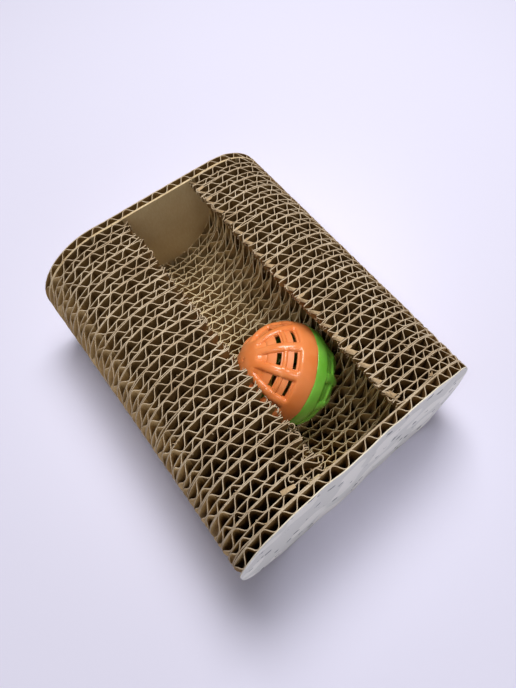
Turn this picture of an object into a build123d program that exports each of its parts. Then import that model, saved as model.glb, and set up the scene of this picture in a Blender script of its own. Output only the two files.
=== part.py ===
"""Cardboard cat scratcher: upright corrugated boards glued side by side, with a bell ball trapped in a channel.

The origin is at the middle of the underside. +Z is up, and the boards are stacked along +Y, from the printed
near end to the plain far end. All sizes are in millimetres, and all angles in degrees.
"""
from build123d import *
from math import asin, atan2, ceil, cos, degrees, radians, sin, sqrt, tan
import os

# Block of boards
BLOCK_WIDTH = 115.0
BLOCK_HEIGHT = 63.0
SIDE_FLAT = 7.0
CORE_SHEET_COUNT = 19

# Paper and flutes of the boards
LINER_THICKNESS = 0.35
FLUTING_THICKNESS = 0.3
FLUTE_TIP = 0.7
LARGE_FLUTE_HEIGHT = 3.55
LARGE_FLUTE_PITCH = 7.6
SMALL_FLUTE_HEIGHT = 2.4
SMALL_FLUTE_PITCH = 6.0
CAP_FLUTE_HEIGHT = 3.2
CAP_FLUTE_PITCH = 7.4

# Channel that the ball runs in
CHANNEL_FLOOR = 15.5
CHANNEL_SIDE_ROOM = 2.7
LIP_OVERHANG = 4.3

# Ball, and the way it lies at rest
BALL_DIAMETER = 42.0
BALL_WALL = 2.2
BALL_CLEARANCE = 0.3
BALL_REST_Y = -23.2
BALL_HEADING = 139.5
BALL_LIFT = 38.2
BALL_SPIN = 27.6
GREEN_TURN = 9.0

# Ribs, hoops and windows of the ball, with angles down from its pole
RIB_COUNT = 10
RIB_ANGLE = 12.0
POCKET_DEPTH = 1.25
POLE_CAP_ANGLE = 21.0
INNER_WINDOW_ANGLE = 43.4
INNER_WINDOW_SPAN = 5.4
HOOP_ANGLE = 51.0
HOOP_SPAN = 4.4
HOOP_DROP = 0.55
OUTER_WINDOW_ANGLE = 62.5
OUTER_WINDOW_SPAN = 4.0
ORANGE_BAND_ANGLE = 70.2
GREEN_BAND_ANGLE = 75.0
WINDOW_SIDE_MARGIN = 1.8
CUTTER_OVERLAP = 1.0

# Joint between the two halves of the ball
SPIGOT_HEIGHT = 2.0
SPIGOT_WALL = 1.05
SPIGOT_CLEARANCE = 0.05

# Jingle bell, loose in the ball
BELL_DIAMETER = 13.0
BELL_WALL = 0.6
BELL_FLANGE_WIDTH = 0.9
BELL_FLANGE_THICKNESS = 0.5
BELL_SLIT_WIDTH = 1.2
BELL_SLIT_DEPTH = 4.6
BELL_SLIT_HOLE = 2.4
BELL_PAD_DIAMETER = 4.2
BELL_PAD_HEIGHT = 0.8
LOOP_DIAMETER = 3.0
LOOP_WIRE = 0.8
LOOP_LEG = 0.6
PELLET_DIAMETER = 3.6
PELLET_CLEARANCE = 0.1

# Sizes worked out from the ones above
corner_radius = (BLOCK_HEIGHT - SIDE_FLAT) / 2
web_depth = SMALL_FLUTE_HEIGHT + LINER_THICKNESS + LARGE_FLUTE_HEIGHT + LINER_THICKNESS
sheet_pitch = LINER_THICKNESS + web_depth
cap_web_depth = CAP_FLUTE_HEIGHT + LINER_THICKNESS
cap_depth = LINER_THICKNESS + cap_web_depth
core_near_end = -CORE_SHEET_COUNT * sheet_pitch / 2
core_far_end = -core_near_end

ball_radius = BALL_DIAMETER / 2
ball_bore_radius = ball_radius - BALL_WALL
ball_height = CHANNEL_FLOOR + BALL_CLEARANCE + ball_radius
channel_radius = ball_radius + CHANNEL_SIDE_ROOM
channel_height = CHANNEL_FLOOR + channel_radius
slot_width = BALL_DIAMETER - 2 * LIP_OVERHANG
spigot_radius = ball_bore_radius + SPIGOT_WALL

bell_radius = BELL_DIAMETER / 2
bell_bore_radius = bell_radius - BELL_WALL
bell_pad_top = bell_radius + BELL_PAD_HEIGHT
bell_height = ball_height - ball_bore_radius + BALL_CLEARANCE + bell_radius

os.makedirs("parts", exist_ok=True)


def write(piece, name):
    """Labels a finished piece and writes its STEP file."""
    piece.label = name
    export_step(piece, f"parts/{name}.step")


def across_block(y):
    """The upright plane across the block at y, seen from the near end, with its second axis up."""
    return Plane.XZ.offset(-y)


def board_outline():
    """Draws the end view of a whole board, standing on the ground line."""
    with Locations((0, BLOCK_HEIGHT / 2)):
        RectangleRounded(BLOCK_WIDTH, BLOCK_HEIGHT, corner_radius)


def channel_opening():
    """Cuts the round channel, and the narrower slot above it, out of a board's end view."""
    with Locations((0, channel_height)):
        Circle(channel_radius, mode=Mode.SUBTRACT)
        Rectangle(slot_width, BLOCK_HEIGHT, align=(Align.CENTER, Align.MIN), mode=Mode.SUBTRACT)


def flute_cells(start, height, pitch):
    """Cuts the openings on both sides of one wavy fluting, seen from above. It fills the depth from start."""
    run = pitch / 2
    flank_angle = atan2(height - FLUTING_THICKNESS, run - FLUTE_TIP)
    tip = FLUTE_TIP / 2
    foot = tip + FLUTING_THICKNESS * tan(flank_angle / 2)
    inside = height - FLUTING_THICKNESS
    near_cell = [(foot - run, 0), (run - foot, 0), (tip, inside), (-tip, inside)]
    far_cell = [(-tip, FLUTING_THICKNESS), (tip, FLUTING_THICKNESS), (run - foot, height), (foot - run, height)]
    columns = 2 * ceil(BLOCK_WIDTH / pitch / 2) + 1
    with Locations((0, start)), GridLocations(pitch, 1, columns, 1):
        Polygon(*near_cell, align=None, mode=Mode.SUBTRACT)
    with Locations((run, start)), GridLocations(pitch, 1, columns, 1):
        Polygon(*far_cell, align=None, mode=Mode.SUBTRACT)


# Flat liner of a core sheet, with the channel cut through it
with BuildPart() as core_liner:
    with BuildSketch(across_block(0)):
        board_outline()
        channel_opening()
    extrude(amount=-LINER_THICKNESS)

# The rest of a core sheet: small fluting, middle liner, large fluting and back liner, bonded into one web
with BuildPart() as core_web:
    with BuildSketch(Plane.XY):
        Rectangle(BLOCK_WIDTH, web_depth, align=(Align.CENTER, Align.MIN))
        flute_cells(0, SMALL_FLUTE_HEIGHT, SMALL_FLUTE_PITCH)
        flute_cells(SMALL_FLUTE_HEIGHT + LINER_THICKNESS, LARGE_FLUTE_HEIGHT, LARGE_FLUTE_PITCH)
    extrude(amount=BLOCK_HEIGHT)
    with BuildSketch(across_block(0)):
        board_outline()
        channel_opening()
    extrude(amount=-web_depth, mode=Mode.INTERSECT)

# Flat outer liner of an end cap
with BuildPart() as cap_liner:
    with BuildSketch(across_block(0)):
        board_outline()
    extrude(amount=-LINER_THICKNESS)

# The rest of an end cap: its fluting, bonded to the liner that closes the channel
with BuildPart() as cap_web:
    with BuildSketch(Plane.XY):
        Rectangle(BLOCK_WIDTH, cap_web_depth, align=(Align.CENTER, Align.MIN))
        flute_cells(0, CAP_FLUTE_HEIGHT, CAP_FLUTE_PITCH)
    extrude(amount=BLOCK_HEIGHT)
    with BuildSketch(across_block(0)):
        board_outline()
    extrude(amount=-cap_web_depth, mode=Mode.INTERSECT)

# Core sheets, from the near end to the far end
for sheet in range(CORE_SHEET_COUNT):
    sheet_start = core_near_end + sheet * sheet_pitch
    with BuildPart() as sheet_liner:
        with Locations((0, sheet_start, 0)):
            add(core_liner.part)
    write(sheet_liner.part, f"sheet_{sheet + 1:02d}_liner")
    with BuildPart() as sheet_web:
        with Locations((0, sheet_start + LINER_THICKNESS, 0)):
            add(core_web.part)
    write(sheet_web.part, f"sheet_{sheet + 1:02d}_fluted_web")

# Near end cap, with its printed white liner outside
with BuildPart() as near_face_liner:
    with Locations((0, core_near_end - cap_depth, 0)):
        add(cap_liner.part)
write(near_face_liner.part, "near_cap_white_liner")
with BuildPart() as near_cap_web:
    with Locations((0, core_near_end - cap_web_depth, 0)):
        add(cap_web.part)
write(near_cap_web.part, "near_cap_fluted_web")

# Far end cap, which is the same board turned round
with BuildPart() as far_face_liner:
    with Locations((0, core_far_end + cap_web_depth, 0)):
        add(cap_liner.part)
write(far_face_liner.part, "far_cap_kraft_liner")
with BuildPart() as far_cap_web:
    with Locations(Location((0, core_far_end + cap_web_depth, 0), (0, 0, 180))):
        add(cap_web.part)
write(far_cap_web.part, "far_cap_fluted_web")


def wall_cutter(inner, start, end, side_margin):
    """One piece that cuts the ball's wall between two ribs, down to the inner radius.

    It lies between two angles down from the pole, and its sides stand clear of the ribs by the margin.
    """
    with BuildPart() as cutter:
        with BuildSketch(Plane.XZ):
            with BuildLine():
                outer_arc = CenterArc((0, 0), ball_radius + CUTTER_OVERLAP, 90 - end, end - start)
                inner_arc = CenterArc((0, 0), inner, 90 - end, end - start)
                Line(outer_arc @ 0, inner_arc @ 0)
                Line(outer_arc @ 1, inner_arc @ 1)
            make_face()
        revolve(axis=Axis.Z, revolution_arc=360 / RIB_COUNT - RIB_ANGLE - 2 * side_margin)
    return cutter.part


def cut_between_ribs(band_angle):
    """Sinks the pockets between ribs and hoops, and cuts the windows through, above the smooth band."""
    stretch = band_angle / ORANGE_BAND_ANGLE
    pocket_floor = ball_radius - POCKET_DEPTH
    hoop_top = ball_radius - HOOP_DROP
    below_hoop = HOOP_ANGLE + HOOP_SPAN
    bore_side = ball_bore_radius - CUTTER_OVERLAP
    inner_window_end = INNER_WINDOW_ANGLE + INNER_WINDOW_SPAN
    outer_window_end = OUTER_WINDOW_ANGLE + OUTER_WINDOW_SPAN
    cuts = [
        (pocket_floor, POLE_CAP_ANGLE, HOOP_ANGLE, 0),
        (hoop_top, HOOP_ANGLE, below_hoop, 0),
        (pocket_floor, below_hoop, ORANGE_BAND_ANGLE, 0),
        (bore_side, INNER_WINDOW_ANGLE, inner_window_end, WINDOW_SIDE_MARGIN),
        (bore_side, OUTER_WINDOW_ANGLE, outer_window_end, WINDOW_SIDE_MARGIN),
    ]
    for inner, start, end, side_margin in cuts:
        cutter = wall_cutter(inner, start * stretch, end * stretch, side_margin)
        with PolarLocations(0, RIB_COUNT, start_angle=RIB_ANGLE / 2 + side_margin):
            add(cutter, mode=Mode.SUBTRACT)


# Orange half of the ball, with its pole up and a rebate inside its rim
with BuildPart() as orange_shell:
    with BuildSketch(Plane.XZ):
        with BuildLine():
            rebate_angle = degrees(asin(SPIGOT_HEIGHT / ball_bore_radius))
            outside = CenterArc((0, 0), ball_radius, 0, 90)
            bore = CenterArc((0, 0), ball_bore_radius, rebate_angle, 90 - rebate_angle)
            Polyline(outside @ 0, (spigot_radius, 0), (spigot_radius, SPIGOT_HEIGHT), bore @ 0)
            Line(outside @ 1, bore @ 1)
        make_face()
    revolve(axis=Axis.Z)
    cut_between_ribs(ORANGE_BAND_ANGLE)

# Green half of the ball, also with its pole up, and the spigot that snaps into the orange half
with BuildPart() as green_shell:
    with BuildSketch(Plane.XZ):
        with BuildLine():
            spigot_reach = SPIGOT_HEIGHT - SPIGOT_CLEARANCE
            spigot_side = spigot_radius - SPIGOT_CLEARANCE
            spigot_angle = degrees(asin(spigot_reach / ball_bore_radius))
            outside = CenterArc((0, 0), ball_radius, 0, 90)
            bore = CenterArc((0, 0), ball_bore_radius, -spigot_angle, 90 + spigot_angle)
            Polyline(outside @ 0, (spigot_side, 0), (spigot_side, -spigot_reach), bore @ 0)
            Line(outside @ 1, bore @ 1)
        make_face()
    revolve(axis=Axis.Z)
    cut_between_ribs(GREEN_BAND_ANGLE)

# The ball at rest, with its orange pole turned up and away from the near end. Its halves are not quite in line
ball_centre = Vector(0, BALL_REST_Y, ball_height)
orange_pole = Vector(
    cos(radians(BALL_LIFT)) * cos(radians(BALL_HEADING)),
    cos(radians(BALL_LIFT)) * sin(radians(BALL_HEADING)),
    sin(radians(BALL_LIFT)),
)
level_side = orange_pole.cross(Vector(0, 0, 1)).normalized()
pole_axis = Axis((0, 0, 0), orange_pole)
first_rib = level_side.rotate(pole_axis, BALL_SPIN)
first_green_rib = first_rib.rotate(pole_axis, GREEN_TURN)

with BuildPart() as ball_orange_half:
    with Locations(Plane(ball_centre, x_dir=first_rib, z_dir=orange_pole)):
        add(orange_shell.part)
write(ball_orange_half.part, "ball_orange_half")
with BuildPart() as ball_green_half:
    with Locations(Plane(ball_centre, x_dir=first_green_rib, z_dir=-orange_pole)):
        add(green_shell.part)
write(ball_green_half.part, "ball_green_half")


# Bell cup with its rim flange, opening downwards
with BuildPart() as bell_cup:
    with BuildSketch(Plane.XZ):
        with BuildLine():
            outside = CenterArc((0, 0), bell_radius, 0, 90)
            bore = CenterArc((0, 0), bell_bore_radius, 0, 90)
            Line(outside @ 0, bore @ 0)
            Line(outside @ 1, bore @ 1)
        make_face()
        with Locations((bell_radius - BELL_WALL / 2, 0)):
            Rectangle(BELL_WALL / 2 + BELL_FLANGE_WIDTH, BELL_FLANGE_THICKNESS, align=Align.MIN)
    revolve(axis=Axis.Z)

# Upper bell cup, with a flat pad for the loop
with BuildPart() as upper_cup:
    add(bell_cup.part)
    pad_radius = BELL_PAD_DIAMETER / 2
    pad_base = sqrt((bell_radius - BELL_WALL / 2) ** 2 - pad_radius**2)
    with Locations((0, 0, pad_base)):
        Cylinder(pad_radius, bell_pad_top - pad_base, align=(Align.CENTER, Align.CENTER, Align.MIN))

# Lower bell cup, turned over, with two crossed slits that end in round holes
with BuildPart() as lower_cup:
    add(bell_cup.part)
    slit_end = bell_radius - BELL_SLIT_DEPTH
    with Locations((0, 0, slit_end)):
        Box(BELL_DIAMETER, BELL_SLIT_WIDTH, BELL_SLIT_DEPTH, align=(Align.CENTER, Align.CENTER, Align.MIN),
            mode=Mode.SUBTRACT)
        Box(BELL_SLIT_WIDTH, BELL_DIAMETER, BELL_SLIT_DEPTH, align=(Align.CENTER, Align.CENTER, Align.MIN),
            mode=Mode.SUBTRACT)
        Cylinder(BELL_SLIT_HOLE / 2, BELL_DIAMETER, rotation=(90, 0, 0), mode=Mode.SUBTRACT)
        Cylinder(BELL_SLIT_HOLE / 2, BELL_DIAMETER, rotation=(0, 90, 0), mode=Mode.SUBTRACT)

# Wire loop that stands on the pad
with BuildPart() as loop:
    with BuildLine(Plane.XZ) as loop_path:
        loop_radius = LOOP_DIAMETER / 2
        shoulder = bell_pad_top + LOOP_LEG
        Line((-loop_radius, bell_pad_top), (-loop_radius, shoulder))
        CenterArc((0, shoulder), loop_radius, 180, -180)
        Line((loop_radius, shoulder), (loop_radius, bell_pad_top))
    with BuildSketch(Plane(loop_path.line @ 0, z_dir=loop_path.line % 0)):
        Circle(LOOP_WIRE / 2)
    sweep(path=loop_path.line)

# Pellet that rolls in the bell
with BuildPart() as pellet:
    with Locations((0, 0, PELLET_DIAMETER / 2 + PELLET_CLEARANCE - bell_bore_radius)):
        Sphere(PELLET_DIAMETER / 2)

# The bell at rest, lying at the bottom of the ball
bell_place = Location((0, BALL_REST_Y, bell_height))
bell_turned_over = Location((0, BALL_REST_Y, bell_height), (180, 0, 0))
bell_pieces = [
    (upper_cup, bell_place, "bell_upper_cup"),
    (lower_cup, bell_turned_over, "bell_lower_cup"),
    (loop, bell_place, "bell_loop"),
    (pellet, bell_place, "bell_pellet"),
]
for source, place, name in bell_pieces:
    with BuildPart() as bell_piece:
        with Locations(place):
            add(source.part)
    write(bell_piece.part, name)
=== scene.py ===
"""Cardboard cat scratcher: corrugated boards glued side by side, with a lattice bell ball in their channel.

Paper and ball are drawn in millimetres in the part's own frame, and scaled to metres when a mesh is made.
The floor and the lamps are given in metres.
"""
import math

import bpy
import numpy as np
from mathutils import Matrix, Vector


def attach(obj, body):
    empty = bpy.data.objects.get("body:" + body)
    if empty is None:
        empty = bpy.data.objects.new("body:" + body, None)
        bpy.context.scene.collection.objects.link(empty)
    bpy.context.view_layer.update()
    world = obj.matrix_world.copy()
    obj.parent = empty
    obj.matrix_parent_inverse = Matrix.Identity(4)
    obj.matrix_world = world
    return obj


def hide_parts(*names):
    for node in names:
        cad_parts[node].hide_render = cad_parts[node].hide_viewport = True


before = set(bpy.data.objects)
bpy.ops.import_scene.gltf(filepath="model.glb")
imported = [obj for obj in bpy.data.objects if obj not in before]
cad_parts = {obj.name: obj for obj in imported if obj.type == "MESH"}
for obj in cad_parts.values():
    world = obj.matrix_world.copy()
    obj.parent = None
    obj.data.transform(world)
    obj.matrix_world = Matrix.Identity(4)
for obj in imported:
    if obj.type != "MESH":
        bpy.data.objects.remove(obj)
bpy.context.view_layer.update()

MM = 0.001
SMALL = 1e-6

# Block of boards, as in the solids
BLOCK_WIDTH = 115.0
BLOCK_HEIGHT = 63.0
SIDE_FLAT = 7.0
CORNER_RADIUS = (BLOCK_HEIGHT - SIDE_FLAT) / 2
CORNER_CENTRE = BLOCK_WIDTH / 2 - CORNER_RADIUS
CORE_BOARDS = 19
LINER = 0.35
SMALL_FLUTE = 2.4
LARGE_FLUTE = 3.55
CAP_FLUTE = 3.2
SMALL_PITCH = 6.0
LARGE_PITCH = 7.6
CAP_PITCH = 7.4
BOARD_DEPTH = 3 * LINER + SMALL_FLUTE + LARGE_FLUTE
CAP_DEPTH = 2 * LINER + CAP_FLUTE
CORE_START = -CORE_BOARDS * BOARD_DEPTH / 2
CORE_END = -CORE_START

# Channel that the ball runs in, as in the solids
CHANNEL_RADIUS = 23.7
CHANNEL_HEIGHT = 39.2
SLOT_HALF = 16.7

# Ball, as in the solids
BALL_RADIUS = 21.0
BALL_BORE = 18.8
BALL_CENTRE = Vector((0, -23.2, 36.8))
BALL_HEADING = math.radians(139.5)
BALL_LIFT = math.radians(38.2)
BALL_SPIN = math.radians(27.6)
GREEN_TURN = math.radians(9)
RIB_COUNT = 10
ORANGE_BAND = 70.2
GREEN_BAND = 75.0

# The paper is drawn a little thicker than it is, because its cut edges are crushed and fluffed wider
LINER_DRAWN = 0.37
FLUTING_DRAWN = 0.32
NEAR_JOINT_DRAWN = 0.55
FAR_JOINT_DRAWN = 0.85
SCRAP_DRAWN = 0.30
SLIVER_DRAWN = 0.14

# How finely the paper is drawn, with more rows near its cut edges
WAVE_SAMPLES = 12
LINER_STEP = 1.6
LEAST_SHARE_OF_STEP = 0.3
CORNER_ANGLES = [90, 85, 79, 72, 64]
CHANNEL_ANGLES = [*CORNER_ANGLES, 56]
EDGE_ROW = 0.5
SECOND_ROW = 1.7
PAPER_CREASE = math.radians(50)
BALL_CREASE = math.radians(60)

# How far cut edges fray, and how the sheets bend, by the size and the length of the bends
FRAY = 0.10
FACE_FRAY = 0.05
PANEL_FRAY = 0.03
LINER_BEND = (0.14, 40)
PANEL_BEND = (0.06, 60)
FACE_BEND_LENGTH = 44
BEND_PARTS = (1.0, 0.57, 0.31)
BEND_CREST = 1.5

# Here and there the glue between two boards has let go, and a liner bows away from its neighbour
SLITS = 2
SLIT_DEPTH = 0.4
SLIT_LENGTHS = (3, 7)

# Flutes: how flat their crests are, how they differ, and their phase with its step and spread by board
FLUTE_FLATNESS = 0.9
PITCH_SPREAD = 0.06
LEAN_SPREAD = 0.12
SMALL_PHASE = (0.2, 0.044, 0.08)
LARGE_PHASE = (0.24, 0.012, 0.04)
CAP_PHASE = 0.4

# Lips of the slot, where the blade left the paper rounded, pushed about and torn
LIP_REACH = 4.5
LIP_ROUND = 3.8
LIP_ROUND_WIDTH = 4.2
LIP_CURL_DEPTH = 9.0
LEFT_LIP_PUSH = (0.1, 0.45)
RIGHT_LIP_PUSH = (-0.3, 0.5)
LIP_PULL = (0, 0.5)

# Scraps of paper at the lips, by the ranges that their sizes are drawn from
FLAP_ROOTS = (1.5, 6.0)
FLAP_REACHES = (0.75, 1.0)
FLAP_DROOPS = (0.5, 1.3)
FLAP_CROWN = 0.35
FLARE_CHANCE = 0.7
FLARE_WIDTHS = (0.9, 1.5)
FLARE_LENGTHS = (2.2, 3.4)
CURL_CHANCE = 0.4
CURL_RADII = (0.7, 1.4)
CURL_SWEEPS = (1.6, 3.0)
CURL_DEPTHS = (1.5, 3.5)

# Slivers that the blade raised, by number, by place, and by the ranges of their length and width
BURRS = 16
SLIVERS = 6
ALONG_BOARD = (0.2, 6.8)
WALL_ANGLES = (math.radians(-28), math.radians(38))
BURR_SIZES = ((0.5, 1.2), (0.25, 0.6))
LIP_SLIVER_SIZES = ((0.5, 1.3), (0.25, 0.5))
WALL_SLIVER_SIZES = ((0.5, 1.2), (0.3, 0.6))
TUFT_SLIVER_SIZES = ((0.8, 1.6), (0.4, 0.8))

# Cut edges round the channel, crushed this way and that, and ragged by so many times the fray elsewhere
CHANNEL_CRUSH = 0.30
CRUSH_LENGTH = 5.0
CRUSH_FADE = np.array([1.0, 0.7, 0.2, 0, 0, 0, 0])
FLOOR_RAGGED = 2.0
WALL_RAGGED = 3.0

# The paper is painted paler, as painted light, from this far out at the sides
PAINTED_LIGHT_SIDE = 49.0

# Torn loops near the ball's end: board, place across and along, two half widths, and angle of the curl
LOOSE_LOOPS = [
    (0, -27.0, -62.3, 1.2, 1.0, 5.2),
    (0, -17.5, -60.6, -3.0, -1.6, 2.6),
    (2, -16.9, -46.8, -1.6, -1.2, 2.8),
    (3, -17.2, -41.0, -1.2, 1.0, 2.4),
]
LOOP_DEPTH = 2.2

# Torn strips: board, where they start and end, and width
LOOSE_STRIPS = [(0, (-32.6, -62.8), (-27.6, -63.7), 1.7)]

# Tufts of slivers: board, place across and along
TUFTS = [(0, 18.5, -60.9), (0, 18.3, -63.6), (0, 34.3, -65.7), (0, -23.0, -64.8), (1, 17.6, -55.3)]

# The boards were not stacked true: the left side swells towards the far end, and the right is drawn in
LEFT_SWELL = 2.3
RIGHT_DRAW = 0.9
SWELL_START = -60.0
SWELL_LENGTH = 130.0

# Seeds of the random draws
CORE_SEED = 100
NEAR_CAP_SEED = 31
FAR_CAP_SEED = 32


def hex_colour(text):
    """Linear colour of an sRGB hex value."""
    channels = [int(text[i:i + 2], 16) / 255 for i in (1, 3, 5)]
    linear = [c / 12.92 if c <= 0.04045 else ((c + 0.055) / 1.055) ** 2.4 for c in channels]
    return (*linear, 1.0)


def grain(size):
    """Texture scale at which a pattern's features are about this many millimetres across."""
    return 1 / (size * MM)


def add_node(tree, kind, inputs, **settings):
    """Adds one node with its settings. An input is given a value, or a link where it is given a socket."""
    made = tree.nodes.new(kind)
    for name, value in settings.items():
        setattr(made, name, value)
    for name, value in inputs.items():
        if isinstance(value, bpy.types.NodeSocket):
            tree.links.new(value, made.inputs[name])
        else:
            made.inputs[name].default_value = value
    return made


def new_material(name):
    """An empty material with its principled shader."""
    material = bpy.data.materials.new(name)
    material.use_nodes = True
    return material, material.node_tree, material.node_tree.nodes["Principled BSDF"]


def paper(name, dark, light, roughness, bump):
    """Unbleached paper: brown fibres felted into a matt sheet, blotchy from afar and streaky close to."""
    material, tree, shader = new_material(name)
    place = add_node(tree, "ShaderNodeTexCoord", {})
    streaks = add_node(tree, "ShaderNodeMapping", {"Vector": place.outputs["Object"], "Scale": (1, 1, 0.3)})
    # Fibres are far too fine to show, so they are drawn as bundles most of a millimetre across
    fibres = add_node(tree, "ShaderNodeTexNoise", {
        "Vector": streaks.outputs["Vector"], "Scale": grain(0.8), "Detail": 5.0, "Roughness": 0.65})
    blotches = add_node(tree, "ShaderNodeTexNoise", {
        "Vector": place.outputs["Object"], "Scale": grain(11), "Detail": 3.0})
    both = add_node(tree, "ShaderNodeMath", {
        0: fibres.outputs["Fac"], 1: blotches.outputs["Fac"], 2: 0.2}, operation="MULTIPLY_ADD")
    ramp = add_node(tree, "ShaderNodeValToRGB", {"Fac": both.outputs["Value"]})
    ramp.color_ramp.elements[0].position = 0.33
    ramp.color_ramp.elements[0].color = hex_colour(dark)
    ramp.color_ramp.elements[1].position = 0.60
    ramp.color_ramp.elements[1].color = hex_colour(light)
    lumps = add_node(tree, "ShaderNodeBump", {
        "Height": fibres.outputs["Fac"], "Strength": bump, "Distance": 0.15 * MM})
    tree.links.new(ramp.outputs["Color"], shader.inputs["Base Color"])
    tree.links.new(lumps.outputs["Normal"], shader.inputs["Normal"])
    shader.inputs["Roughness"].default_value = roughness
    shader.inputs["Specular IOR Level"].default_value = 0.2
    return material


def moulded_plastic(name, deep, bright, smooth, scuffed):
    """Moulded polypropylene, a little cloudy in colour, between a smooth and a scuffed roughness."""
    material, tree, shader = new_material(name)
    place = add_node(tree, "ShaderNodeTexCoord", {})
    clouds = add_node(tree, "ShaderNodeTexNoise", {
        "Vector": place.outputs["Object"], "Scale": grain(9), "Detail": 2.0})
    ramp = add_node(tree, "ShaderNodeValToRGB", {"Fac": clouds.outputs["Fac"]})
    ramp.color_ramp.elements[0].position = 0.35
    ramp.color_ramp.elements[0].color = hex_colour(deep)
    ramp.color_ramp.elements[1].position = 0.65
    ramp.color_ramp.elements[1].color = hex_colour(bright)
    scuffs = add_node(tree, "ShaderNodeTexNoise", {
        "Vector": place.outputs["Object"], "Scale": grain(0.9), "Detail": 4.0, "Roughness": 0.7})
    gloss = add_node(tree, "ShaderNodeMapRange", {
        "Value": scuffs.outputs["Fac"], "From Min": 0.35, "From Max": 0.7,
        "To Min": smooth, "To Max": scuffed})
    dimples = add_node(tree, "ShaderNodeBump", {
        "Height": scuffs.outputs["Fac"], "Strength": 0.06, "Distance": 0.1 * MM})
    tree.links.new(ramp.outputs["Color"], shader.inputs["Base Color"])
    tree.links.new(gloss.outputs["Result"], shader.inputs["Roughness"])
    tree.links.new(dimples.outputs["Normal"], shader.inputs["Normal"])
    shader.inputs["IOR"].default_value = 1.49
    shader.inputs["Subsurface Weight"].default_value = 0.2
    shader.inputs["Subsurface Radius"].default_value = (1.0, 0.45, 0.2)
    shader.inputs["Subsurface Scale"].default_value = 2 * MM
    return material


def plated_metal(name, bright, tarnished, roughness):
    """Pressed and plated sheet metal: bright, with tarnish in soft patches."""
    material, tree, shader = new_material(name)
    place = add_node(tree, "ShaderNodeTexCoord", {})
    tarnish = add_node(tree, "ShaderNodeTexNoise", {
        "Vector": place.outputs["Object"], "Scale": grain(2.5), "Detail": 4.0})
    ramp = add_node(tree, "ShaderNodeValToRGB", {"Fac": tarnish.outputs["Fac"]})
    ramp.color_ramp.elements[0].position = 0.4
    ramp.color_ramp.elements[0].color = hex_colour(tarnished)
    ramp.color_ramp.elements[1].position = 0.62
    ramp.color_ramp.elements[1].color = hex_colour(bright)
    tree.links.new(ramp.outputs["Color"], shader.inputs["Base Color"])
    shader.inputs["Metallic"].default_value = 1.0
    shader.inputs["Roughness"].default_value = roughness
    return material


def printed_liner(name, pebble, between, ink_colour):
    """White-faced liner with a grey print: pale pebbles on a pale ground, and small broken flecks."""
    material, tree, shader = new_material(name)
    place = add_node(tree, "ShaderNodeTexCoord", {})
    pebbles = add_node(tree, "ShaderNodeTexVoronoi", {
        "Vector": place.outputs["Object"], "Scale": grain(15), "Randomness": 0.9}, feature="SMOOTH_F1")
    ground = add_node(tree, "ShaderNodeValToRGB", {"Fac": pebbles.outputs["Distance"]})
    ground.color_ramp.elements[0].position = 0.38
    ground.color_ramp.elements[0].color = hex_colour(pebble)
    ground.color_ramp.elements[1].position = 0.41
    ground.color_ramp.elements[1].color = hex_colour(between)
    flecks = add_node(tree, "ShaderNodeTexVoronoi", {
        "Vector": place.outputs["Object"], "Scale": grain(7.5), "Randomness": 1.0})
    crumbs = add_node(tree, "ShaderNodeTexNoise", {
        "Vector": place.outputs["Object"], "Scale": grain(1.6), "Detail": 2.0})
    broken = add_node(tree, "ShaderNodeMath", {
        0: crumbs.outputs["Fac"], 1: 0.5, 2: flecks.outputs["Distance"]}, operation="MULTIPLY_ADD")
    ink = add_node(tree, "ShaderNodeMapRange", {
        "Value": broken.outputs["Value"], "From Min": 0.43, "From Max": 0.47,
        "To Min": 0.85, "To Max": 0.0})
    printed = add_node(tree, "ShaderNodeMix", {
        "Factor": ink.outputs["Result"], "A": ground.outputs["Color"],
        "B": hex_colour(ink_colour)}, data_type="RGBA")
    fibres = add_node(tree, "ShaderNodeTexNoise", {
        "Vector": place.outputs["Object"], "Scale": grain(1.1), "Detail": 4.0})
    lumps = add_node(tree, "ShaderNodeBump", {
        "Height": fibres.outputs["Fac"], "Strength": 0.12, "Distance": 0.1 * MM})
    tree.links.new(printed.outputs["Result"], shader.inputs["Base Color"])
    tree.links.new(lumps.outputs["Normal"], shader.inputs["Normal"])
    shader.inputs["Roughness"].default_value = 0.6
    return material


# Papers, each by its darker and its lighter tone
kraft = paper("kraft_liner", "#8A6B40", "#AF8F59", roughness=0.9, bump=0.35)
fluting = paper("kraft_fluting", "#6F542F", "#947545", roughness=0.9, bump=0.35)
# Inner liners of the end boards, which face the channel, painted lighter: painted light
lit_panel_kraft = paper("kraft_panel_painted_light", "#D4BA8B", "#E0CB9E", roughness=0.9, bump=0.2)
cut_edge = paper("kraft_cut_edge", "#A48D70", "#CDBBA1", roughness=0.95, bump=0.5)
# Cut edges round the channel, much paler than the other cut edges: painted light
lit_channel_edge = paper("kraft_channel_edge_painted_light", "#D0B88C", "#F0DEB8", roughness=0.95, bump=0.5)
torn_paper = paper("kraft_torn_face", "#A08562", "#C4AB88", roughness=0.95, bump=0.5)
# Paler paper at the block's sides and in the channel: painted light
painted_light_kraft = paper("kraft_pale_painted_light", "#B39665", "#D8BB86", roughness=0.95, bump=0.4)
joint_edge = paper("kraft_joint_edge", "#BFA57C", "#D6C09B", roughness=0.9, bump=0.3)
cream_edge = paper("white_liner_edge", "#D9CDB4", "#EFE6D2", roughness=0.8, bump=0.2)
white_print = printed_liner(
    "white_printed_liner", pebble="#FAF8F0", between="#E6E5DE", ink_colour="#7A7C7B")

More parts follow.
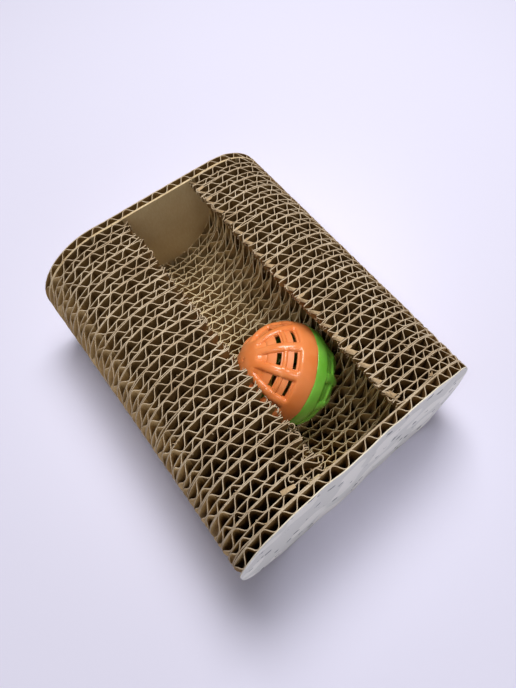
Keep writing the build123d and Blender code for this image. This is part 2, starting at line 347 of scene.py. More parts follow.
# The ball is glossy but for the floors of its pockets: roughness where it is smooth and where scuffed
GLOSS = (0.13, 0.26)
MATT = (0.42, 0.55)
ORANGE = ("#DE7D3F", "#E68A4F")
GREEN = ("#6FB83A", "#86CA50")
orange_plastic = moulded_plastic("orange_polypropylene", *ORANGE, *GLOSS)
orange_floor = moulded_plastic("orange_polypropylene_matt", *ORANGE, *MATT)
green_plastic = moulded_plastic("green_polypropylene", *GREEN, *GLOSS)
green_floor = moulded_plastic("green_polypropylene_matt", *GREEN, *MATT)
brass = plated_metal("brass_plate", "#A98738", "#6E5523", roughness=0.4)
steel = plated_metal("steel_wire", "#C4C6C8", "#9A9DA0", roughness=0.32)

# Order of the finishes on a core board, on a cap's outer face and on the rest of a cap
LINER_FINISH, EDGE_FINISH, TORN_FINISH, FLUTING_FINISH, CHANNEL_FINISH, PAINTED_LIGHT_FINISH = range(6)
CORE_FINISHES = [kraft, cut_edge, torn_paper, fluting, lit_channel_edge, painted_light_kraft]
FACE_FINISH, FACE_EDGE_FINISH, FACE_BACK_FINISH = range(3)
PANEL_FINISH, CAP_EDGE_FINISH, JOINT_FINISH, CAP_FLUTE_FINISH = range(4)

# Order of the finishes on a half of the ball
GLOSSY_FINISH, MATT_FINISH = range(2)


def make_piece(name, points, faces, finishes, materials, crease):
    """Makes an object in metres, smooth but for the edges that turn by more than the crease angle."""
    mesh = bpy.data.meshes.new(name)
    mesh.from_pydata((points * MM).tolist(), [], faces)
    for material in materials:
        mesh.materials.append(material)
    mesh.polygons.foreach_set("material_index", finishes)
    mesh.shade_smooth()
    mesh.set_sharp_from_angle(angle=crease)
    made = bpy.data.objects.new(name, mesh)
    bpy.context.collection.objects.link(made)
    return made


def settle(piece, body, slot, *nodes):
    """Puts a finished piece on its body, in the place of its solids."""
    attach(piece, body)
    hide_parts(*nodes)


class Board:
    """Paper gathered for one mesh: points in millimetres, faces, and the finish of each face."""

    def __init__(self):
        self.points = []
        self.faces = []
        self.finishes = []
        self.count = 0

    def add(self, points, faces, finishes):
        """Takes in one closed piece of paper, without the points that no face uses."""
        used = np.unique(faces)
        place = np.full(len(points), -1)
        place[used] = np.arange(len(used))
        self.points.append(points[used])
        self.faces.append(place[faces] + self.count)
        self.finishes.append(finishes)
        self.count += len(used)

    def make(self, name, materials):
        """Makes the object, with smooth paper and crisp cut edges."""
        points = np.concatenate(self.points)
        faces = np.concatenate(self.faces).tolist()
        return make_piece(name, points, faces, np.concatenate(self.finishes), materials, PAPER_CREASE)


def half_height(x):
    """Half the height of a board's outline at each place across it."""
    past = np.clip(np.abs(x) - CORNER_CENTRE, 0, CORNER_RADIUS)
    return SIDE_FLAT / 2 + np.sqrt(CORNER_RADIUS**2 - past**2)


def places_across(step, channel):
    """Places across a board where its paper is drawn, closer together where an outline turns upright."""
    turns = [CORNER_CENTRE + CORNER_RADIUS * np.sin(np.radians(CORNER_ANGLES))]
    if channel:
        turns += [CHANNEL_RADIUS * np.sin(np.radians(CHANNEL_ANGLES)), [SLOT_HALF]]
    fixed = np.concatenate(turns)
    fixed = np.concatenate([fixed, -fixed])
    even = np.arange(-BLOCK_WIDTH / 2, BLOCK_WIDTH / 2, step)
    apart = np.abs(even[:, None] - fixed[None]).min(axis=1)
    return np.sort(np.concatenate([fixed, even[apart > step * LEAST_SHARE_OF_STEP]]))


def slow_wave(x, rng, size, length):
    """A gentle random bend along x, of about this size and wavelength."""
    bend = np.zeros_like(x)
    for part in BEND_PARTS:
        bend += part * np.sin(2 * math.pi * x / (length * part) + rng.uniform(0, 2 * math.pi))
    return bend * size / BEND_CREST


def flute_wave(x, pitch, phase, rng):
    """Rounded waves between -1 and 1, each a little different, with this phase at the slot's right edge."""
    count = int(BLOCK_WIDTH / pitch) + 5
    lengths = pitch * (1 + rng.normal(0, PITCH_SPREAD, count))
    starts = np.concatenate([[0], np.cumsum(lengths)]) - BLOCK_WIDTH / 2 - 2 * pitch
    numbers = np.arange(count + 1)
    cycle = np.interp(x, starts, numbers) - np.interp(SLOT_HALF, starts, numbers)
    turn = 2 * math.pi * (cycle + phase)
    turn = turn + rng.normal(0.0, LEAN_SPREAD) * np.sin(turn)
    return np.tanh(FLUTE_FLATNESS * np.sin(turn)) / math.tanh(FLUTE_FLATNESS)


def fluting_line(near, far, wave):
    """Line of a fluting seen from above, which swings between the liners on its two sides."""
    swing = (np.abs(far - near) - FLUTING_DRAWN) / 2
    return (near + far) / 2 + swing * wave


def stacked(x, y):
    """Where a place across the board really lies, since the boards were not stacked true."""
    far = np.clip((y - SWELL_START) / SWELL_LENGTH, 0, 1) ** 1.5
    outward = np.clip((np.abs(x) - SLOT_HALF) / (BLOCK_WIDTH / 2 - SLOT_HALF), 0, 1) ** 2
    return x - outward * np.where(x < 0, LEFT_SWELL * far, RIGHT_DRAW)


def strip_quads(index):
    """Faces of a grid of points, seen from the near end."""
    corners = [index[:-1, :-1], index[1:, :-1], index[1:, 1:], index[:-1, 1:]]
    return np.stack(corners, axis=-1).reshape(-1, 4)


def rim_quads(front, shift):
    """Faces that join the two sides of the paper along one edge, by the shift between their points."""
    back = front + shift
    return np.stack([front[:-1], front[1:], back[1:], back[:-1]], axis=-1)


def rows_between(low, high):
    """Heights of the rows of points from one cut edge to the other, closer together at the edges."""
    tall = high - low
    near = np.minimum(EDGE_ROW, tall * 0.1)
    next_in = np.minimum(SECOND_ROW, tall * 0.25)
    rows = [low, low + near, low + next_in, (low + high) / 2, high - next_in, high - near, high]
    return np.stack(rows, axis=1)


def web_heights(x, rng, channel, fray_size):
    """Rows of heights of a web below and above the channel, and where the channel opens it."""
    middle = BLOCK_HEIGHT / 2
    half = half_height(x)
    reach = np.sqrt(np.clip(CHANNEL_RADIUS**2 - x**2, 0, None)) if channel else np.zeros(len(x))
    fray = rng.normal(0, fray_size, (4, len(x)))
    bottom = middle - half + np.abs(fray[0])
    top = middle + half + fray[1]
    opening = reach > 0
    split = np.minimum(CHANNEL_HEIGHT, middle + half / 2)
    ragged = np.where(opening, FLOOR_RAGGED + WALL_RAGGED * (x / CHANNEL_RADIUS) ** 4, 0)
    rounded = LIP_ROUND * np.clip(1 - (np.abs(x) - SLOT_HALF) / LIP_ROUND_WIDTH, 0, 1) ** 2
    lower = rows_between(bottom, split - reach - ragged * np.abs(fray[2]))
    upper = rows_between(split + reach + ragged * np.abs(fray[3]) + rounded * opening, top)
    return lower, upper, opening


def web_points(x, line, thickness, lower, upper, opening, rng, channel):
    """Points of a web's two sides, pushed about where the blade has been."""
    rows = lower.shape[1]
    heights = np.concatenate([lower, upper], axis=1)
    push = np.zeros_like(heights)
    crush = np.zeros_like(heights)
    if channel:
        # At the slot the ends of the web are pushed along and aside, most of all near the top
        lip = np.clip(1 - (np.abs(x) - SLOT_HALF) / LIP_REACH, 0, 1) ** 2
        lip[np.abs(x) < SLOT_HALF - SMALL] = 0
        near_top = np.clip(1 - (BLOCK_HEIGHT - upper) / LIP_CURL_DEPTH, 0, 1)
        push[:, rows:] = lip[:, None] * (0.3 + 0.7 * near_top)
        # All round the channel the cut edges are crushed this way and that
        crushed = slow_wave(x, rng, CHANNEL_CRUSH, CRUSH_LENGTH)[:, None] * opening[:, None]
        crush[:, :rows] = crushed * CRUSH_FADE[::-1]
        crush[:, rows:] = crushed * CRUSH_FADE
    ends = np.where(x < 0, rng.normal(*LEFT_LIP_PUSH), rng.normal(*RIGHT_LIP_PUSH))[:, None]
    pulls = np.where(x < 0, rng.normal(*LIP_PULL), rng.normal(*LIP_PULL))[:, None]

    slope = np.gradient(line, x)
    long = np.sqrt(1 + slope**2)
    across = np.stack([-slope / long, 1 / long], axis=1) * thickness / 2
    sides = []
    for side in (-1, 1):
        plan_x = (x + side * across[:, 0])[:, None] + push * ends
        plan_y = (line + side * across[:, 1])[:, None] + push * pulls + crush
        sides.append(np.stack([stacked(plan_x, plan_y), plan_y, heights], axis=-1).reshape(-1, 3))
    return np.concatenate(sides)


def web_faces(x, rows, opening, channel):
    """Faces of a web's near side, which of them are painted paler as painted light, its cut edges, and its
    channel floor's edge.
    """
    count = len(x)
    shift = count * 2 * rows
    front = np.arange(shift).reshape(count, 2 * rows)
    lower = front[:, :rows]
    upper = front[:, rows:].copy()
    upper[~opening, 0] = lower[~opening, -1]

    # The paper is painted paler, as painted light, at the block's sides and towards the channel's floor
    between = np.abs(x[:-1] + x[1:])[:, None] / 2
    at_side = np.repeat((between > PAINTED_LIGHT_SIDE) & channel, rows - 1, axis=1)
    at_floor = (between < CHANNEL_RADIUS) & channel & (np.arange(rows - 1) >= rows // 2)
    near_side = [strip_quads(lower)]
    painted_light_faces = [(at_side | at_floor).ravel()]
    edges = [rim_quads(lower[:, 0], shift)[:, ::-1]]
    edges += [rim_quads(lower[0], shift)]
    edges += [rim_quads(lower[-1], shift)[:, ::-1]]
    floor_edge = np.zeros((0, 4), int)
    spans = [np.full(count, True)]
    if channel:
        in_channel = np.abs(x) <= CHANNEL_RADIUS + SMALL
        floor_edge = rim_quads(lower[in_channel, -1], shift)
        spans = [x <= -SLOT_HALF + SMALL, x >= SLOT_HALF - SMALL]
    for span in spans:
        strip = upper[span]
        near_side += [strip_quads(strip)]
        painted_light_faces += [at_side[span[:-1] & span[1:]].ravel()]
        edges += [rim_quads(strip[:, -1], shift)]
        edges += [rim_quads(strip[0], shift)]
        edges += [rim_quads(strip[-1], shift)[:, ::-1]]
        if channel:
            edges += [rim_quads(upper[span & in_channel, 0], shift)[:, ::-1]]
    return np.concatenate(near_side), np.concatenate(painted_light_faces), np.concatenate(edges), floor_edge


def add_web(board, x, line, thickness, rng, channel,
            finish=(LINER_FINISH, LINER_FINISH, EDGE_FINISH), fray_size=FRAY):
    """Adds one upright web of paper that follows a line seen from above, cut to the board's outline.

    The finishes are those of its near side, its far side and its cut edges.
    """
    lower, upper, opening = web_heights(x, rng, channel, fray_size)
    points = web_points(x, line, thickness, lower, upper, opening, rng, channel)
    near_side, painted_light_faces, edges, floor_edge = web_faces(x, lower.shape[1], opening, channel)
    far_side = near_side[:, ::-1] + len(points) // 2
    faces = np.concatenate([near_side, far_side, edges, floor_edge])
    # Faces painted paler as painted light take the pale paper
    finishes = [np.where(painted_light_faces, PAINTED_LIGHT_FINISH, side_finish) for side_finish in finish[:2]]
    finishes += [np.repeat([finish[2], CHANNEL_FINISH], [len(edges), len(floor_edge)])]
    board.add(points, faces, np.concatenate(finishes))


def add_scrap(board, grid, thickness=SCRAP_DRAWN):
    """Adds one small scrap of paper that follows a grid of points, with two sides and a cut rim."""
    normal = np.cross(np.gradient(grid, axis=0), np.gradient(grid, axis=1))
    normal /= np.linalg.norm(normal, axis=-1, keepdims=True)
    over = (grid + normal * thickness / 2).reshape(-1, 3)
    under = (grid - normal * thickness / 2).reshape(-1, 3)
    index = np.arange(len(over)).reshape(grid.shape[:2])
    shift = len(over)
    faces = strip_quads(index)
    border = np.concatenate([index[:-1, 0], index[-1, :-1], index[:0:-1, -1], index[0, :0:-1]])
    following = np.roll(border, -1)
    rim = np.stack([following, border, border + shift, following + shift], axis=-1)
    everything = np.concatenate([faces, faces[:, ::-1] + shift, rim])
    finishes = np.repeat([TORN_FINISH, EDGE_FINISH], [2 * len(faces), len(rim)])
    board.add(np.concatenate([over, under]), everything, finishes)


def add_flap(board, x, line, rng):
    """The last bend of a fluting at the slot's right edge, folded over into the cell beside it."""
    nearest, furthest = FLAP_ROOTS
    ahead = x[(x > SLOT_HALF + nearest) & (x < SLOT_HALF + furthest)]
    at_edge = np.interp(SLOT_HALF, x, line)
    root = ahead[np.argmax(np.abs(np.interp(ahead, x, line) - at_edge))]
    along = np.linspace(0.04, 0.92, 7)
    fold_x = SLOT_HALF - 0.3 + (root - SLOT_HALF) * along
    fold_y = np.interp(np.maximum(fold_x, SLOT_HALF), x, line)
    loose_x = SLOT_HALF - 0.5 + rng.uniform(0.9, 1.6) * along
    loose_y = at_edge + (np.interp(root, x, line) - at_edge) * along
    across = np.linspace(0, 1, 4)
    reach = rng.uniform(*FLAP_REACHES)
    droop = rng.uniform(*FLAP_DROOPS)
    plan_x = fold_x[:, None] + reach * (loose_x - fold_x)[:, None] * across
    plan_y = fold_y[:, None] + reach * (loose_y - fold_y)[:, None] * across
    crown = FLAP_CROWN * np.sin(math.pi * across)
    z = BLOCK_HEIGHT + 0.05 - droop * across**2 * (1.2 - along[:, None]) + crown
    add_scrap(board, np.stack([plan_x, plan_y, z], axis=-1))


def add_flare(board, y, rng):
    """The end of two glued liners at the slot's right edge, peeled apart and turned to show a face."""
    along = np.linspace(0, 1, 5)
    across = np.linspace(-0.5, 0.5, 3)
    width = rng.uniform(*FLARE_WIDTHS) * (0.35 + 0.65 * np.sin(math.pi * (0.15 + 0.7 * along)))
    x = SLOT_HALF - 0.2 + rng.uniform(*FLARE_LENGTHS) * (1 - along)
    plan_x = x[:, None] + 0 * across
    plan_y = y + width[:, None] * across
    z = BLOCK_HEIGHT + 0.12 - 0.5 * along[:, None] ** 2 - 0.25 * np.abs(across)
    add_scrap(board, np.stack([plan_x, plan_y, z], axis=-1))


def add_loop(board, x, y, across, along, sweep, deep):
    """A loose end of paper that stands on edge and curls round, with these half widths seen from above."""
    angle = np.linspace(0, sweep, 9)[:, None]
    down = np.linspace(0, 1, 3)
    plan_x = x - across * np.sin(angle) + 0 * down
    plan_y = y + along * (1 - np.cos(angle)) + 0 * down
    z = BLOCK_HEIGHT + 0.1 - deep * down * (1 - 0.4 * angle / sweep)
    add_scrap(board, np.stack([plan_x, plan_y, z], axis=-1))


def add_strip(board, start, end, width):
    """A torn strip of liner that lies across the cells."""
    along = np.linspace(0, 1, 6)[:, None]
    way = np.array(end) - np.array(start)
    middle = np.array(start) + way * along
    aside = np.array([-way[1], way[0]]) / np.linalg.norm(way)
    rows = []
    for share in np.linspace(-0.5, 0.5, 3):
        plan = middle + aside * width * share * (1 - 0.3 * along)
        z = BLOCK_HEIGHT + 0.25 + 0.5 * np.sin(math.pi * along) - 0.6 * share**2
        rows.append(np.concatenate([plan, z], axis=1))
    add_scrap(board, np.stack(rows, axis=1))


def add_sliver(board, place, way, sizes, rng):
    """A sliver of paper that hangs from a cut edge, bent at its tip, of a random length and width."""
    length = rng.uniform(*sizes[0])
    width = rng.uniform(*sizes[1])
    way = np.array(way) / np.linalg.norm(way)
    aside = np.cross(way, rng.normal(0, 1, 3))
    aside /= np.linalg.norm(aside)
    bend = np.cross(way, aside) * rng.uniform(-0.5, 0.5) * length
    along = np.linspace(0, 1, 4)
    middle = np.array(place) + along[:, None] * way * length + along[:, None] ** 2 * bend
    half = aside * width / 2 * (1 - 0.75 * along[:, None])
    add_scrap(board, np.stack([middle - half, middle + half], axis=1), SLIVER_DRAWN)


def add_burrs(board, liners, flat, rng):
    """Slivers that the blade raised along the top edges of the liners."""
    for _ in range(BURRS):
        x = rng.choice([-1, 1]) * rng.uniform(SLOT_HALF + 1, CORNER_CENTRE + CORNER_RADIUS * 0.75)
        y = np.interp(x, flat, liners[rng.integers(len(liners))])
        place = (stacked(x, y), y, BLOCK_HEIGHT / 2 + half_height(x) + 0.05)
        way = (rng.normal(0, 1), rng.normal(0, 1), rng.uniform(-0.1, 0.35))
        add_sliver(board, place, way, BURR_SIZES, rng)


def tear_lips(board, start, liners, flat, rng):
    """Curls and slivers along both lips of one board, and slivers down the channel's walls."""
    for side in (-1, 1):
        lines = [np.interp(side * (SLOT_HALF + 0.5), flat, line) for line in liners]
        if rng.random() < CURL_CHANCE:
            radius = rng.uniform(*CURL_RADII)
            turn = rng.choice([-1, 1])
            add_loop(board, side * (SLOT_HALF + 0.4), rng.choice(lines), side * radius, turn * radius,
                     rng.uniform(*CURL_SWEEPS), rng.uniform(*CURL_DEPTHS))
        for _ in range(SLIVERS):
            place = (side * (SLOT_HALF + rng.uniform(0, 0.6)), start + rng.uniform(*ALONG_BOARD),
                     BLOCK_HEIGHT - rng.uniform(-0.1, 4.0))
            way = (-side * rng.uniform(0.2, 1), rng.normal(0, 0.7), rng.normal(-0.2, 0.6))
            add_sliver(board, place, way, LIP_SLIVER_SIZES, rng)
        for _ in range(SLIVERS):
            angle = rng.uniform(*WALL_ANGLES)
            place = (side * CHANNEL_RADIUS * math.cos(angle), start + rng.uniform(*ALONG_BOARD),
                     CHANNEL_HEIGHT + CHANNEL_RADIUS * math.sin(angle))
            way = (-side * rng.uniform(0.3, 1), rng.normal(0, 0.5), rng.normal(-0.4, 0.5))
            add_sliver(board, place, way, WALL_SLIVER_SIZES, rng)
    if rng.random() < FLARE_CHANCE:
        add_flare(board, np.interp(SLOT_HALF, flat, liners[2]), rng)


def add_loose_bits(board, number, rng):
    """The larger torn bits, which lie on only a few of the boards."""
    for place, x, y, across, along, sweep in LOOSE_LOOPS:
        if place == number:
            add_loop(board, x, y, across, along, sweep, LOOP_DEPTH)
    for place, start, end, width in LOOSE_STRIPS:
        if place == number:
            add_strip(board, start, end, width)
    for place, x, y in TUFTS:
        if place != number:
            continue
        for _ in range(SLIVERS):
            way = (rng.normal(0, 1), rng.normal(0, 1), rng.uniform(0, 0.5))
            add_sliver(board, (x, y, BLOCK_HEIGHT), way, TUFT_SLIVER_SIZES, rng)


def board_phase(number, rng, start, step, spread):
    """Phase of a fluting at the slot's right edge, which creeps on from board to board."""
    return start + step * number + rng.normal(0, spread)


def core_board(number):
    """One double-wall board: liner, small fluting, middle liner, large fluting and back liner."""
    rng = np.random.default_rng(CORE_SEED + number)
    start = CORE_START + number * BOARD_DEPTH
    board = Board()
    flat = places_across(LINER_STEP, True)
    small = places_across(SMALL_PITCH / WAVE_SAMPLES, True)
    large = places_across(LARGE_PITCH / WAVE_SAMPLES, True)
    depths = [LINER / 2, 1.5 * LINER + SMALL_FLUTE, BOARD_DEPTH - LINER / 2]
    liners = []
    for depth, apart in zip(depths, (1, 0, -1)):
        line = start + depth + slow_wave(flat, rng, *LINER_BEND)
        for _ in range(SLITS):
            slit = rng.uniform(-BLOCK_WIDTH / 2, BLOCK_WIDTH / 2)
            gap = apart * rng.uniform(0, SLIT_DEPTH)
            line += gap * np.exp(-(((flat - slit) / rng.uniform(*SLIT_LENGTHS)) ** 2))
        liners.append(line)
        add_web(board, flat, line, LINER_DRAWN, rng, True)
    flutings = [
        (small, SMALL_PITCH, liners[0], liners[1], board_phase(number, rng, *SMALL_PHASE)),
        (large, LARGE_PITCH, liners[1], liners[2], board_phase(number, rng, *LARGE_PHASE)),
    ]
    for x, pitch, near, far, phase in flutings:
        wave = flute_wave(x, pitch, phase, rng)
        line = fluting_line(np.interp(x, flat, near), np.interp(x, flat, far), wave)
        add_web(board, x, line, FLUTING_DRAWN, rng, True, (FLUTING_FINISH, FLUTING_FINISH, EDGE_FINISH))
    add_flap(board, large, line, rng)
    tear_lips(board, start, liners, flat, rng)
    add_burrs(board, liners, flat, rng)
    add_loose_bits(board, number, rng)
    made = board.make(f"core_board_{number + 1:02d}", CORE_FINISHES)
    name = f"sheet_{number + 1:02d}"
    settle(made, "block", "kraft_paper", f"{name}_liner", f"{name}_fluted_web")


for board_number in range(CORE_BOARDS):
    core_board(board_number)


def end_cap(name, face_node, outside, inward, face_papers, face_slot, bow, joint, joint_paper, seed):
    """One single-wall end board: an outer liner, a fluting and the inner liner that closes the channel."""
    rng = np.random.default_rng(seed)
    flat = places_across(LINER_STEP, False)
    waves = places_across(CAP_PITCH / WAVE_SAMPLES, False)
    face_line = outside + inward * LINER / 2 + slow_wave(flat, rng, bow, FACE_BEND_LENGTH)
    inner_line = outside + inward * (CAP_DEPTH - LINER / 2) + slow_wave(flat, rng, *PANEL_BEND)
    face = Board()
    face_order = (FACE_FINISH, FACE_BACK_FINISH, FACE_EDGE_FINISH)
    add_web(face, flat, face_line, LINER_DRAWN, rng, False, face_order, FACE_FRAY)
    settle(face.make(f"{name}_face", face_papers), "block", face_slot, face_node)
    web = Board()
    panel_order = (PANEL_FINISH, PANEL_FINISH, JOINT_FINISH)
    add_web(web, flat, inner_line, joint, rng, False, panel_order, PANEL_FRAY)
    wave = flute_wave(waves, CAP_PITCH, CAP_PHASE, rng)
    line = fluting_line(np.interp(waves, flat, face_line), np.interp(waves, flat, inner_line), wave)
    flute_order = (CAP_FLUTE_FINISH, CAP_FLUTE_FINISH, CAP_EDGE_FINISH)
    add_web(web, waves, line, FLUTING_DRAWN, rng, False, flute_order)
    made = web.make(f"{name}_flutes", [lit_panel_kraft, cut_edge, joint_paper, kraft])
    settle(made, "block", "kraft_paper", f"{name}_fluted_web")


end_cap("near_cap", "near_cap_white_liner", CORE_START - CAP_DEPTH, 1,
        [white_print, cream_edge, kraft], "white_printed_paper",
        bow=0.35, joint=NEAR_JOINT_DRAWN, joint_paper=cut_edge, seed=NEAR_CAP_SEED)
end_cap("far_cap", "far_cap_kraft_liner", CORE_END + CAP_DEPTH, -1,
        [kraft, cut_edge, kraft], "kraft_paper",
        bow=0.12, joint=FAR_JOINT_DRAWN, joint_paper=joint_edge, seed=FAR_CAP_SEED)

# Depth below the ball's round at angles down from the pole, halfway between two ribs of the orange half
POCKET_PROFILE = [
    (0.0, 0.25), (1.8, 0.25), (2.8, 0.0), (19.0, 0.0), (21.0, 0.15),
    (25.0, 0.95), (31.6, 1.55), (32.2, 1.25), (50.5, 1.25), (51.0, 0.92),
    (51.8, 0.66), (53.2, 0.55), (54.6, 0.66), (55.4, 0.92), (55.9, 1.25),
]
ROUND_BAND_EDGE = [(68.9, 1.25), (69.4, 0.75), (70.3, 0.24), (72.0, 0.0)]
CRISP_BAND_EDGE = [(66.6, 1.25), (66.8, 1.85), (69.7, 1.85), (69.9, 0.15), (70.3, 0.0)]
SEAM_PROFILE = [(88.8, 0.0), (89.5, 0.05), (90.0, 0.20)]

# Angles down from the pole where the windows and the matt floors of the pockets start and end
WINDOWS = [(43.4, 48.8), (62.5, 66.5)]
POCKET_FLOORS = [(32.2, 50.5), (55.9, 68.9)]

# How finely the ball is drawn, and its ribs' half width by the angle down from the pole
RING_STEP = 2.4
RIB_ROUND = [0.0, 0.3, 0.55, 0.75, 0.9, 1.0]
POCKET_ACROSS = [0.04, 0.3, 0.65, 1.0]
RIB_HALF_WIDTHS = [(20, 1.65), (32, 1.9), (47, 2.1), (66, 2.2)]
RIB_MOST_OF_SECTOR = 0.75


def ball_rings(profile, stretch):
    """Angles down from the pole at which a half is drawn: each turn of its profile, and some between."""
    window_ends = {angle * stretch for window in WINDOWS for angle in window}
    stops = sorted({angle for angle, _ in profile} | window_ends)
    rings = [stops[0]]
    for stop in stops[1:]:
        pieces = max(1, math.ceil((stop - rings[-1]) / RING_STEP - SMALL))
        rings += list(np.linspace(rings[-1], stop, pieces + 1)[1:])
    return np.array(rings[1:])


def lattice_round(rings, depth, stretch):
    """Turns about the pole and drops below the ball's round of each point, ring by ring."""
    half_sector = math.pi / RIB_COUNT
    rib_half = np.interp(rings / stretch, *zip(*RIB_HALF_WIDTHS))
    rib_angle = rib_half / (BALL_RADIUS * np.sin(np.radians(rings)))
    rib_angle = np.minimum(rib_angle, half_sector * RIB_MOST_OF_SECTOR)
    half = []
    for share in RIB_ROUND:
        half.append((rib_angle * share, depth * (1 - math.sqrt(1 - share**2))))
    for share in POCKET_ACROSS:
        half.append((rib_angle + (half_sector - rib_angle) * share, depth))
    sector = [(-turn, drop) for turn, drop in half[-2:0:-1]] + half
    turns = []
    drops = []
    for rib in range(RIB_COUNT):
        for turn, drop in sector:
            turns.append(2 * half_sector * rib + turn)
            drops.append(drop)
    return np.stack(turns, axis=1), np.stack(drops, axis=1)


def pocket_cells(rings, columns, spans):
    """Cells of the grid that lie between these angles, in the pockets alone."""
    half_columns = len(RIB_ROUND) + len(POCKET_ACROSS)
    first_open = half_columns - 2 + len(RIB_ROUND)
    in_pocket = (np.arange(columns) - first_open) % (2 * half_columns - 2) < 2 * (len(POCKET_ACROSS) - 1)
    inside = np.zeros((len(rings) - 1, columns), bool)
    for start, end in spans:
        held = (rings[:-1] >= start - SMALL) & (rings[1:] <= end + SMALL)
        inside |= held[:, None] & in_pocket
    return inside


def lattice_faces(opening, matt):
    """Faces and finishes of a shell with windows: outer rings of points, inner rings, and the two tips."""
    ring_cells, columns = opening.shape
    shell = (ring_cells + 1) * columns
    faces = []
    matt_faces = []
    for ring in range(ring_cells):
        for column in range(columns):
            beside = (column + 1) % columns
            upper_left = ring * columns + column
            upper_right = ring * columns + beside
            lower_left = upper_left + columns
            lower_right = upper_right + columns
            if not opening[ring, column]:
                if matt[ring, column]:
                    matt_faces.append(len(faces))
                faces.append((upper_left, lower_left, lower_right, upper_right))
                inner = (upper_left, upper_right, lower_right, lower_left)
                faces.append(tuple(corner + shell for corner in inner))
                continue
            if not opening[ring, column - 1]:
                faces.append((upper_left, lower_left, lower_left + shell, upper_left + shell))
            if not opening[ring, beside]:
                faces.append((upper_right, upper_right + shell, lower_right + shell, lower_right))
            if not opening[ring - 1, column]:
                faces.append((upper_left, upper_left + shell, upper_right + shell, upper_right))
            if not opening[ring + 1, column]:
                faces.append((lower_left, lower_right, lower_right + shell, lower_left + shell))
    seam = ring_cells * columns
    for column in range(columns):
        beside = (column + 1) % columns
        faces.append((seam + column, seam + column + shell, seam + beside + shell, seam + beside))
        faces.append((2 * shell, column, beside))
        faces.append((2 * shell + 1, beside + shell, column + shell))
    finishes = np.full(len(faces), GLOSSY_FINISH)
    finishes[matt_faces] = MATT_FINISH
    return faces, finishes


def ball_half(name, pole, first_rib, band, band_edge, materials, slot, node):
    """One moulded half of the ball: a smooth band, round ribs, sunken pockets, a hoop and windows."""
    stretch = band / ORANGE_BAND
    profile = [(angle * stretch, depth) for angle, depth in POCKET_PROFILE + band_edge] + SEAM_PROFILE
    rings = ball_rings(profile, stretch)
    turns, drops = lattice_round(rings, np.interp(rings, *zip(*profile)), stretch)
    axes = np.array([first_rib, pole.cross(first_rib), pole])
    down = np.radians(rings)[:, None]
    points = []
    for radius in (BALL_RADIUS - drops, np.full_like(drops, BALL_BORE)):
        flat = radius * np.sin(down)
        local = np.stack([flat * np.cos(turns), flat * np.sin(turns), radius * np.cos(down)], axis=-1)
        points.append(local.reshape(-1, 3) @ axes + np.array(BALL_CENTRE))
    tips = [pole * (BALL_RADIUS - profile[0][1]) + BALL_CENTRE, pole * BALL_BORE + BALL_CENTRE]
    points.append(np.array(tips))
    columns = turns.shape[1]
    opening = pocket_cells(rings / stretch, columns, WINDOWS)
    matt = pocket_cells(rings / stretch, columns, POCKET_FLOORS)
    faces, finishes = lattice_faces(opening, matt)
    made = make_piece(name, np.concatenate(points), faces, finishes, materials, BALL_CREASE)
    settle(made, "ball", slot, node)


level = math.cos(BALL_LIFT)
orange_pole = Vector((level * math.cos(BALL_HEADING), level * math.sin(BALL_HEADING), math.sin(BALL_LIFT)))
level_side = orange_pole.cross(Vector((0, 0, 1))).normalized()
rib_direction = Matrix.Rotation(BALL_SPIN, 3, orange_pole) @ level_side
ball_half("ball_orange_lattice", orange_pole, rib_direction, ORANGE_BAND, ROUND_BAND_EDGE,
          (orange_plastic, orange_floor), "orange_plastic", "ball_orange_half")
green_direction = Matrix.Rotation(GREEN_TURN, 3, orange_pole) @ rib_direction
ball_half("ball_green_lattice", -orange_pole, green_direction, GREEN_BAND, CRISP_BAND_EDGE,
          (green_plastic, green_floor), "green_plastic", "ball_green_half")

# The bell's own solids are right as they are, and take their metals
BELL_METALS = {"bell_upper_cup": brass, "bell_lower_cup": brass, "bell_loop": steel, "bell_pellet": steel}
for node_name, metal in BELL_METALS.items():
    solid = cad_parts[node_name]
    solid.data.materials.clear()
    solid.data.materials.append(metal)

# Pale lavender table under the block
FLOOR_REACH = 2.0
floor_corners = [(-FLOOR_REACH, -FLOOR_REACH, 0), (FLOOR_REACH, -FLOOR_REACH, 0),
                 (FLOOR_REACH, FLOOR_REACH, 0), (-FLOOR_REACH, FLOOR_REACH, 0)]
floor_mesh = bpy.data.meshes.new("floor")
floor_mesh.from_pydata(floor_corners, [], [(0, 1, 2, 3)])
floor_material, _, floor_shader = new_material("matt_table")
floor_shader.inputs["Base Color"].default_value = hex_colour("#E9E6F9")
floor_shader.inputs["Roughness"].default_value = 0.9
floor_mesh.materials.append(floor_material)
floor = bpy.data.objects.new("floor", floor_mesh)
bpy.context.collection.objects.link(floor)

BLOCK_MIDDLE = (0, 0, 0.03)


def hang(data, place, aim):
    """Hangs a lamp at a place, turned to what it lights."""
    lamp = bpy.data.objects.new(data.name, data)
    lamp.location = place
    lamp.rotation_euler = (Vector(aim) - Vector(place)).to_track_quat("-Z", "Y").to_euler()
    bpy.context.collection.objects.link(lamp)


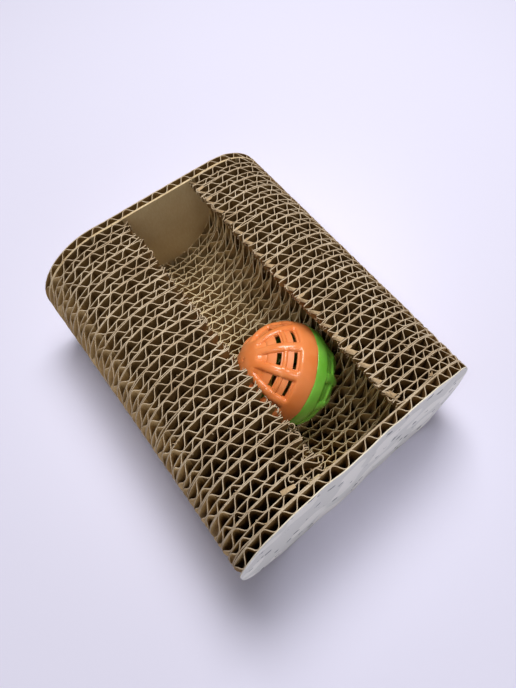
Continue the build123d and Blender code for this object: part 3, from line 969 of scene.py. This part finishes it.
def panel_lamp(name, place, width, depth, power):
    """A soft lamp panel that faces the middle of the block."""
    data = bpy.data.lights.new(name, "AREA")
    data.shape = "RECTANGLE"
    data.size = width
    data.size_y = depth
    data.energy = power
    hang(data, place, BLOCK_MIDDLE)


def soft_spot(name, place, aim, cone, radius, power):
    """A soft round lamp whose light fades from the middle of its cone to the rim."""
    data = bpy.data.lights.new(name, "SPOT")
    data.spot_size = math.radians(cone)
    data.spot_blend = 1.0
    data.shadow_soft_size = radius
    data.energy = power
    hang(data, place, aim)


# A large soft panel above and to the right, and a low one that fills the printed end
panel_lamp("overhead_panel", (0.20, 0.18, 0.80), width=0.42, depth=0.36, power=6.1)
panel_lamp("low_panel", (-0.16, -0.75, 0.22), width=0.30, depth=0.20, power=0.42)

# Two weaker soft lamps that reach into the channel and onto the ball
soft_spot("left_spot", (-0.32, -0.06, 0.76), aim=(0.010, 0.028, 0.03), cone=14, radius=0.06, power=6.5)
soft_spot("front_spot", (0.03, -0.36, 0.72), aim=(0.0, -0.018, 0.045), cone=11, radius=0.07, power=5.5)

# An even pale room round them all
scene = bpy.context.scene
world = bpy.data.worlds.new("room")
world.use_nodes = True
room = world.node_tree.nodes["Background"]
room.inputs["Color"].default_value = hex_colour("#FAFAFF")
room.inputs["Strength"].default_value = 0.21
scene.world = world

# Camera, solved from the block's own edges in the photograph
CAMERA_PLACE = Vector((-50.94, -95.92, 264.65)) * MM
CAMERA_RIGHT = Vector((0.77286, -0.63458, 0.00035))
CAMERA_UP = Vector((0.52912, 0.64473, 0.55169))
CAMERA_BACK = Vector((-0.35031, -0.42620, 0.83405))
camera_data = bpy.data.cameras.new("camera")
camera_data.lens = 30.58
camera_data.sensor_width = 36
camera_data.shift_x = -0.0649
camera_data.shift_y = -0.1429
camera_data.clip_start = 0.01
camera = bpy.data.objects.new("camera", camera_data)
turned = Matrix((CAMERA_RIGHT, CAMERA_UP, CAMERA_BACK)).transposed().to_4x4()
camera.matrix_world = Matrix.Translation(CAMERA_PLACE) @ turned
bpy.context.collection.objects.link(camera)
scene.camera = camera
scene.view_settings.view_transform = "Standard"
